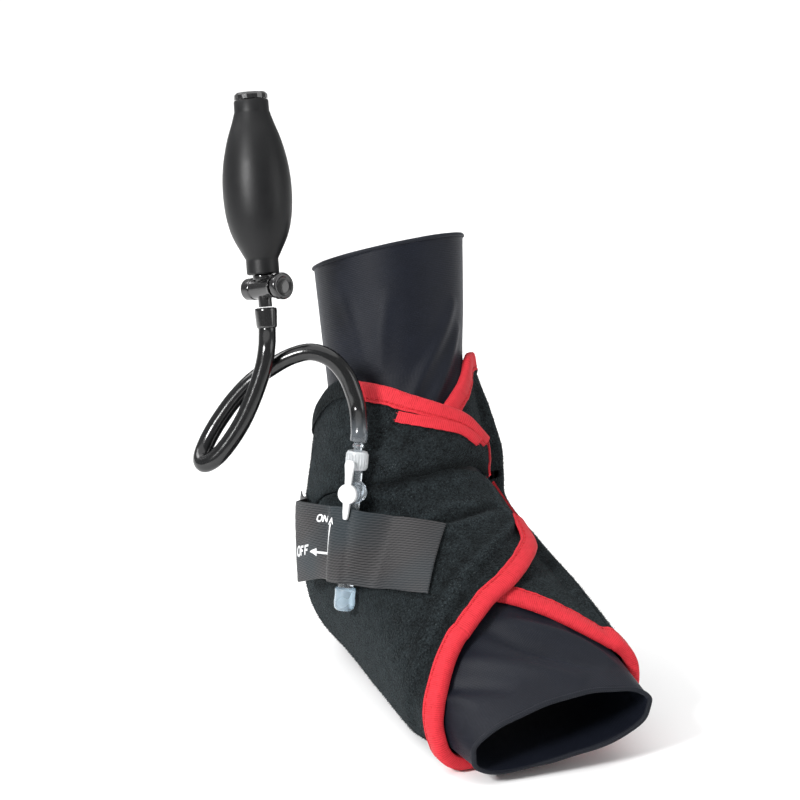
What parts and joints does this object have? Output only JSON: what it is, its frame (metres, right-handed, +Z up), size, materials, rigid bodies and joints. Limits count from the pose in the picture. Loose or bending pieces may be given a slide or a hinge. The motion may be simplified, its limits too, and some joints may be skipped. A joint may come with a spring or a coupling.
{
  "type": "cold compression ankle wrap",
  "caption": "Fleece ankle wrap with gel pads and an air bladder, closed over a knitted undersleeve, with a stopcock, a hose and a hand squeeze bulb.",
  "frame": {"origin": "On the floor plane under the sole, below the front of the heel, where the sole pad rests.", "axes": "+Z up out of the sole, -Y towards the toe opening, +X towards the inner (big toe) side of a right foot."},
  "size_m": [0.1655, 0.2473, 0.2951],
  "materials": {
    "fleece": "matt",
    "sleeve_knit": "matt",
    "hem": "matt",
    "lining": "matt",
    "gel_film": "satin",
    "bladder_film": "satin",
    "binding_tape": "matt",
    "hook_tape": "matt",
    "webbing": "satin",
    "clear_plastic": "gloss",
    "white_plastic": "satin",
    "hose_vinyl": "gloss",
    "valve_plastic": "gloss",
    "bulb_rubber": "satin",
    "seal_rubber": "matt",
    "spring_steel": "satin"
  },
  "bodies": {
    "wrap": {"compression_sleeve": "sleeve_knit", "sleeve_top_hem": "hem", "sleeve_toe_hem": "hem", "wrap_lining": "lining", "gel_pad_outer": "gel_film", "gel_pad_inner": "gel_film", "air_bladder": "bladder_film", "heel_shell": "fleece", "instep_panel": "fleece", "far_upper_wing": "fleece", "far_lower_wing": "fleece", "binding_shell_top": "binding_tape", "binding_far_upper": "binding_tape", "binding_far_lower": "binding_tape", "binding_shell_foot": "binding_tape", "stopcock_body": "clear_plastic", "port_tube": "clear_plastic", "port_end_cap": "clear_plastic", "bridge_strap": "webbing"},
    "near_upper_wing": {"near_upper_wing": "fleece", "binding_upper_wing": "binding_tape", "binding_upper_row_two": "binding_tape", "hook_tab_upper": "hook_tape"},
    "near_lower_wing": {"near_lower_wing": "fleece", "binding_lower_wing": "binding_tape", "hook_tab_lower": "hook_tape"},
    "stopcock_lever": {"stopcock_lever": "white_plastic"},
    "pump": {"luer_fitting": "clear_plastic", "hose": "hose_vinyl", "tee_valve_body": "valve_plastic", "hose_cuff": "valve_plastic", "squeeze_bulb": "bulb_rubber", "intake_valve_seat": "valve_plastic"},
    "luer_collar": {"luer_collar": "clear_plastic"},
    "release_button": {"release_button": "valve_plastic", "button_spring": "spring_steel"},
    "outlet_check_disc": {"outlet_check_disc": "seal_rubber"},
    "intake_check_disc": {"intake_check_disc": "seal_rubber"}
  },
  "joints": [
    {"name": "stopcock_turn", "type": "hinge", "parent": "wrap", "child": "stopcock_lever", "pos_m": [-0.0469, 0.0181, 0.1089], "axis": [-0.7957, -0.5603, 0.2302], "range_deg": [0, 90]},
    {"name": "pump_disconnect", "type": "slide", "parent": "wrap", "child": "pump", "axis": [0.19, 0.13, 0.9731], "range_m": [0, 0.015]},
    {"name": "collar_turn", "type": "hinge", "parent": "pump", "child": "luer_collar", "pos_m": [-0.04386, 0.02018, 0.12447], "axis": [0.19, 0.13, 0.9731], "range_deg": [0, 180]},
    {"name": "release_press", "type": "slide", "parent": "pump", "child": "release_button", "axis": [-0.2527, 0.9274, -0.2757], "range_m": [0, 0.002], "stiffness_N_per_m": 400, "springref_m": -0.001},
    {"name": "outlet_check", "type": "slide", "parent": "pump", "child": "outlet_check_disc", "axis": [-0.1132, -0.3114, -0.9435], "range_m": [0, 0.0015], "stiffness_N_per_m": 20},
    {"name": "intake_check", "type": "slide", "parent": "pump", "child": "intake_check_disc", "axis": [-0.1132, -0.3114, -0.9435], "range_m": [0, 0.001], "stiffness_N_per_m": 20},
    {"name": "near_upper_wing_open", "type": "hinge", "parent": "wrap", "child": "near_upper_wing", "pos_m": [-0.02524, 0.01945, 0.13287], "axis": [-0.2769, -0.5592, -0.7815], "range_deg": [0, 70]},
    {"name": "near_lower_wing_open", "type": "hinge", "parent": "wrap", "child": "near_lower_wing", "pos_m": [-0.01258, -0.05225, 0.07349], "axis": [-0.0606, -0.7803, -0.6224], "range_deg": [0, 40]}
  ]
}
